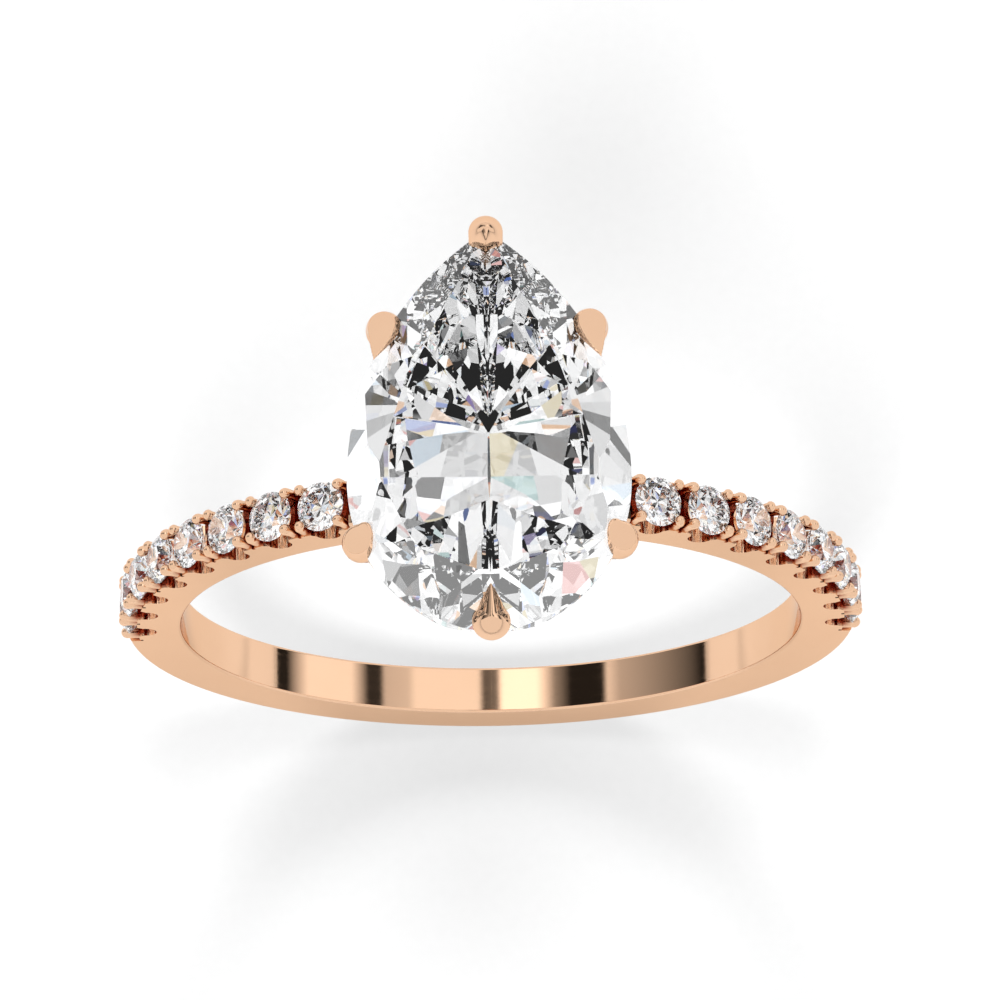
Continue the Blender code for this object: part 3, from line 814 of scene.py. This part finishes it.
def rose_gold(name, stretch, scratch, low_roughness, high_roughness, painted_shade=False):
    """Mirror-polished alloy: faint polishing lines, a little haze and a slight drift of colour, and optionally a
    deep red-brown shade painted into the cuts under and between the accent stones.
    """
    material, tree, shader = new_material(name)
    unrolled, plain, out = ring_coordinates(tree, stretch)
    tint = mixed(tree, noise(tree, plain, 900.0), (0.82, 0.525, 0.345, 1.0), (0.85, 0.560, 0.375, 1.0))
    if painted_shade:
        # Painted shade: the cuts under and between the accent stones are mixed towards a deep red-brown, standing in
        # for the shade that falls there.
        tint = mixed(tree, painted_recess_shade(tree, plain, out), tint, (0.30, 0.055, 0.025, 1.0))
    tree.links.new(tint, shader.inputs["Base Color"])
    shader.inputs["Metallic"].default_value = 1.0
    shader.inputs["Specular Tint"].default_value = (0.88, 0.75, 0.64, 1.0)
    haze = noise(tree, unrolled, 14000.0, 4.0)
    tree.links.new(ranged(tree, haze, low_roughness, high_roughness), shader.inputs["Roughness"])
    bump = add(tree, "ShaderNodeBump")
    bump.inputs["Strength"].default_value = scratch
    bump.inputs["Distance"].default_value = 0.000002
    tree.links.new(noise(tree, unrolled, 45000.0, 2.0), bump.inputs["Height"])
    tree.links.new(bump.outputs["Normal"], shader.inputs["Normal"])
    return material


def diamond(name, cloud_scale):
    """Colourless diamond, with the faintest cloud in its body colour and its polish."""
    material, tree, shader = new_material(name)
    coordinates = add(tree, "ShaderNodeTexCoord")
    cloud = noise(tree, coordinates.outputs["Object"], cloud_scale)
    tint = mixed(tree, cloud, (0.985, 0.992, 1.0, 1.0), (1.0, 1.0, 1.0, 1.0))
    tree.links.new(tint, shader.inputs["Base Color"])
    tree.links.new(ranged(tree, cloud, 0.0, 0.004), shader.inputs["Roughness"])
    shader.inputs["IOR"].default_value = 2.42
    shader.inputs["Transmission Weight"].default_value = 1.0
    return material


def paper():
    material, tree, shader = new_material("pale_floor")
    coordinates = add(tree, "ShaderNodeTexCoord")
    grain = noise(tree, coordinates.outputs["Object"], 3000.0)
    tint = mixed(tree, grain, (0.90, 0.90, 0.90, 1.0), (0.93, 0.93, 0.93, 1.0))
    tree.links.new(tint, shader.inputs["Base Color"])
    shader.inputs["Roughness"].default_value = 0.9
    shader.inputs["Specular IOR Level"].default_value = 0.1
    return material


# Studio

def floor():
    bm = bmesh.new()
    bmesh.ops.create_circle(bm, cap_ends=True, segments=96, radius=3.0)
    bmesh.ops.translate(bm, vec=(0, 0, -OUTER_RADIUS * TO_M), verts=bm.verts[:])
    mesh = bpy.data.meshes.new("floor")
    bm.to_mesh(mesh)
    bm.free()
    mesh.materials.append(paper())
    plane = bpy.data.objects.new("floor", mesh)
    bpy.context.scene.collection.objects.link(plane)


def area_light(name, direction, size, power):
    """A soft round lamp that faces the ring; it lights the floor and isn't mirrored by the ring."""
    light = bpy.data.lights.new(name, "AREA")
    light.shape = "DISK"
    light.size = size
    light.energy = power
    lamp = bpy.data.objects.new(name, light)
    way = Vector(direction).normalized()
    lamp.location = way * LAMP_DISTANCE
    lamp.rotation_euler = way.to_track_quat("Z", "Y").to_euler()
    lamp.visible_camera = False
    lamp.visible_glossy = False
    lamp.visible_transmission = False
    bpy.context.scene.collection.objects.link(lamp)


# Brightness of the studio by angle from straight up, left to right, in degrees
STUDIO = (
    (-90, 0.02), (-87, 0.02), (-82, 0.12), (-50, 0.6), (-45, 1.0), (-43, 0.02), (-30, 0.02), (-24, 0.35),
    (-17, 1.8), (-4, 1.8), (-2, 0.25), (3, 0.12), (5, 1.2), (29, 1.2), (32, 0.85), (41, 0.75), (43, 0.04),
    (48, 0.04), (55, 1.25), (74, 1.25), (84, 0.02), (90, 0.02),
)
# What a diamond finds in the studio: share of its patches and their brightness
PATCHES = ((0.0, 1.35), (0.36, 1.0), (0.55, 0.80), (0.71, 0.55), (0.82, 0.20), (0.87, 0.02))
# Gels on the flags, which stand in for a diamond's fire
GELS = (
    (0.0, (0.02, 0.03, 0.20)), (0.14, (0.16, 0.30, 0.85)), (0.30, (0.66, 0.84, 1.0)), (0.50, (1.0, 0.86, 0.50)),
    (0.64, (1.0, 0.50, 0.16)), (0.78, (0.85, 0.22, 0.18)), (0.88, (0.42, 0.30, 0.75)), (0.95, (0.30, 0.60, 0.58)),
)
FLAG_SEED = (8.5, 4.5, 11.5)
CAMERA_WAY = (0.0, -0.307, 0.952)
FLAG_SCALE = 5.0
GEL_SCALE = 15.0
GEL_STRENGTH = 0.62
# The bank of softboxes: sine of its angle behind the ring, and where its edges start and end
BANK_AT = 0.32
BANK_EDGE = (0.20, 0.24)
FLOOR_LIGHT = (0.56, 0.56, 0.56, 1.0)
# Lamps: name, direction, size, power
LAMP_DISTANCE = 0.45
LAMPS = (
    ("overhead", (0.02, 0.13, 1.0), 0.13, 0.38),
    ("front_left", (-0.105, -0.56, 0.82), 0.14, 0.70),
    ("behind", (0.0, 0.82, 0.56), 0.16, 0.58),
)


def studio_world():
    """A white room to the camera, an even grey to the floor, softboxes to the gold, flags and gels to the stones."""
    world = bpy.data.worlds.new("studio")
    bpy.context.scene.world = world
    world.use_nodes = True
    tree = world.node_tree
    white = (1.0, 1.0, 1.0, 1.0)
    way = add(tree, "ShaderNodeTexCoord").outputs["Generated"]
    split = add(tree, "ShaderNodeSeparateXYZ")
    tree.links.new(way, split.inputs[0])
    lean = add(tree, "ShaderNodeMath", operation="ARCTAN2")
    tree.links.new(split.outputs["X"], lean.inputs[0])
    tree.links.new(split.outputs["Z"], lean.inputs[1])
    across = ranged(tree, lean.outputs[0], 0.0, 1.0, -math.pi / 2, math.pi / 2)
    strips = stepped(tree, across, [((degrees + 90) / 180, level) for degrees, level in STUDIO], "LINEAR")
    behind = add(tree, "ShaderNodeMath", operation="SUBTRACT")
    behind.inputs[1].default_value = BANK_AT
    tree.links.new(split.outputs["Y"], behind.inputs[0])
    offset = add(tree, "ShaderNodeMath", operation="ABSOLUTE")
    tree.links.new(behind.outputs[0], offset.inputs[0])
    bank = ranged(tree, offset.outputs[0], 1.0, 0.0, *BANK_EDGE)
    above = ranged(tree, split.outputs["Z"], 0.0, 1.0, 0.0, 0.02)
    both = add(tree, "ShaderNodeMath", operation="MULTIPLY")
    tree.links.new(bank, both.inputs[0])
    tree.links.new(above, both.inputs[1])
    for_metal = mixed(tree, both.outputs[0], white, strips)

    flags = add(tree, "ShaderNodeTexVoronoi")
    flags.inputs["Scale"].default_value = FLAG_SCALE
    turned_way = add(tree, "ShaderNodeVectorMath", operation="ADD")
    turned_way.inputs[1].default_value = FLAG_SEED
    tree.links.new(way, turned_way.inputs[0])
    tree.links.new(turned_way.outputs[0], flags.inputs["Vector"])
    pick = add(tree, "ShaderNodeSeparateColor")
    tree.links.new(flags.outputs["Color"], pick.inputs[0])
    greys = stepped(tree, pick.outputs[0], PATCHES, "CONSTANT")
    gels = add(tree, "ShaderNodeTexVoronoi")
    gels.inputs["Scale"].default_value = GEL_SCALE
    tree.links.new(way, gels.inputs["Vector"])
    choose = add(tree, "ShaderNodeSeparateColor")
    tree.links.new(gels.outputs["Color"], choose.inputs[0])
    vivid = stepped(tree, choose.outputs[0], GELS, "CONSTANT")
    gelled = ranged(tree, choose.outputs[1], 0.0, GEL_STRENGTH, 0.76, 0.86)
    tinted = mixed(tree, gelled, greys, vivid)
    facing = add(tree, "ShaderNodeVectorMath", operation="DOT_PRODUCT")
    facing.inputs[1].default_value = CAMERA_WAY
    tree.links.new(way, facing.inputs[0])
    shield = ranged(tree, facing.outputs["Value"], 0.0, 0.98, math.cos(math.radians(17)),
                    math.cos(math.radians(11)))
    for_stones = mixed(tree, shield, tinted, (0.0, 0.0, 0.0, 1.0))

    path = add(tree, "ShaderNodeLightPath")
    sheen = ranged(tree, split.outputs["Y"], 1.5, 0.12, -0.55, -0.35)
    stone_light = mixed(tree, path.outputs["Is Transmission Ray"], sheen, for_stones)
    result = mixed(tree, path.outputs["Is Singular Ray"], for_metal, stone_light)
    result = mixed(tree, path.outputs["Is Diffuse Ray"], result, FLOOR_LIGHT)
    result = mixed(tree, path.outputs["Is Camera Ray"], result, white)
    tree.links.new(result, tree.nodes["Background"].inputs["Color"])


def camera():
    """Looks down at the ring from in front and high above, with a long lens."""
    azimuth, elevation, roll = math.radians(-0.48), math.radians(72.10), math.radians(-0.39)
    distance, aim_across, aim_up = 180.0, 0.253, 2.753
    back = Vector((math.sin(azimuth) * math.cos(elevation), -math.cos(azimuth) * math.cos(elevation),
                   math.sin(elevation)))
    level = Vector((math.cos(azimuth), math.sin(azimuth), 0))
    upright = back.cross(level)
    right = level * math.cos(roll) + upright * math.sin(roll)
    up = upright * math.cos(roll) - level * math.sin(roll)
    data = bpy.data.cameras.new("camera")
    data.sensor_width = 36.0
    data.lens = 242.8
    data.clip_start = 0.01
    data.clip_end = 20.0
    eye = bpy.data.objects.new("camera", data)
    place = (back * distance + right * aim_across + up * aim_up) * TO_M
    turn = Matrix((right, up, back)).transposed().to_4x4()
    eye.matrix_world = Matrix.Translation(place) @ turn
    bpy.context.scene.collection.objects.link(eye)
    bpy.context.scene.camera = eye


def studio():
    floor()
    studio_world()
    for row in LAMPS:
        area_light(*row)
    scene = bpy.context.scene
    scene.view_settings.view_transform = "Standard"
    scene.cycles.max_bounces = 24
    scene.cycles.transmission_bounces = 24
    scene.cycles.glossy_bounces = 12
    scene.cycles.caustics_reflective = False
    scene.cycles.caustics_refractive = False


def unseen_through_stones(piece):
    piece.visible_transmission = False


def main():
    # The band's gold carries painted shade in the cuts under and between the accent stones.
    gold = rose_gold("polished_rose_gold", 12.0, 0.25, 0.035, 0.075, painted_shade=True)
    wire_gold = rose_gold("wire_rose_gold", 1.0, 0.15, 0.04, 0.08)
    clear = diamond("centre_diamond", 700.0)
    small_clear = diamond("accent_diamond", 2500.0)
    band(gold)
    for row in FILED_CLAWS:
        unseen_through_stones(filed_claw(row, wire_gold))
    for row in RIDGED_CLAWS:
        unseen_through_stones(ridged_claw(row, wire_gold))
    for node in RAILS:
        unseen_through_stones(rail(node, wire_gold))
    unseen_through_stones(saddle(wire_gold))
    centre_stone(clear)
    accent_stones(small_clear)
    camera()
    studio()


main()
